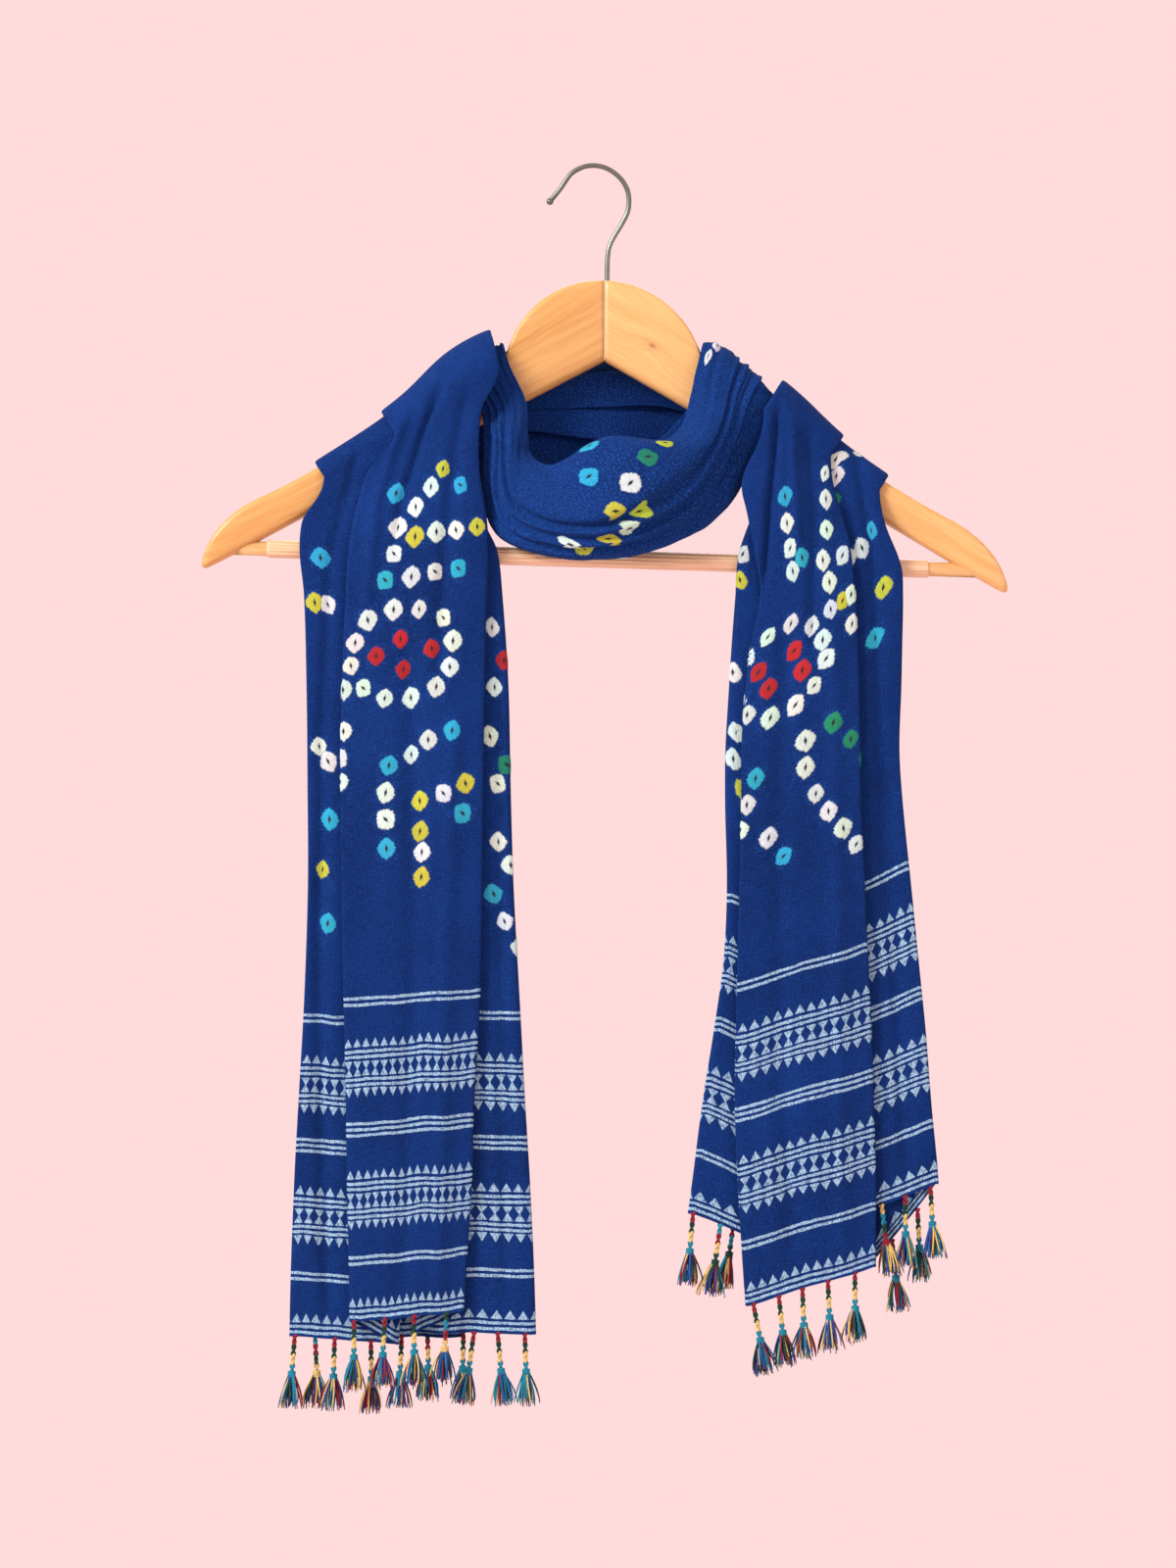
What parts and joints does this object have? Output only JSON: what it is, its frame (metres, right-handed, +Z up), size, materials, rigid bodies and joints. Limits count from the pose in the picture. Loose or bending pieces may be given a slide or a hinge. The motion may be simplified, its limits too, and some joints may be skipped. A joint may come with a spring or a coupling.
{
  "type": "shawl on a clothes hanger",
  "caption": "Long woven shawl with tasselled ends, wound once round the neck of a wooden clothes hanger so that a loop hangs in front and both ends hang down.",
  "frame": {"origin": "inside top of the hanger's wire hook, where the rail or wall hook bears", "axes": "+Z up, -Y towards the front of the hanger and the shawl's front loop, +X to the right as seen from the front"},
  "size_m": [0.4452, 0.092, 0.6938],
  "materials": {
    "cloth": "matte plain weave, resist-dyed dots and woven bands",
    "tassel": "matte twisted yarn in several colours",
    "wood": "satin lacquered pale hardwood",
    "wire": "polished plated wire",
    "sleeve": "clear ribbed plastic over the wooden bar"
  },
  "bodies": {
    "root": {"hanger_hook": "wire", "hanger_wing_left": "wood", "hanger_wing_right": "wood", "hanger_bar": "wood", "hanger_sleeve": "sleeve", "shawl_end_left": "cloth", "shawl_back_inner": "cloth", "shawl_front_loop": "cloth", "shawl_back_outer": "cloth", "shawl_end_right": "cloth", "tassel_left_1": "tassel", "tassel_left_2": "tassel", "tassel_left_3": "tassel", "tassel_left_4": "tassel", "tassel_left_5": "tassel", "tassel_left_6": "tassel", "tassel_left_7": "tassel", "tassel_left_8": "tassel", "tassel_left_9": "tassel", "tassel_left_10": "tassel", "tassel_left_11": "tassel", "tassel_left_12": "tassel", "tassel_left_13": "tassel", "tassel_left_14": "tassel", "tassel_right_1": "tassel", "tassel_right_2": "tassel", "tassel_right_3": "tassel", "tassel_right_4": "tassel", "tassel_right_5": "tassel", "tassel_right_6": "tassel", "tassel_right_7": "tassel", "tassel_right_8": "tassel", "tassel_right_9": "tassel", "tassel_right_10": "tassel", "tassel_right_11": "tassel", "tassel_right_12": "tassel", "tassel_right_13": "tassel", "tassel_right_14": "tassel"}
  },
  "joints": []
}
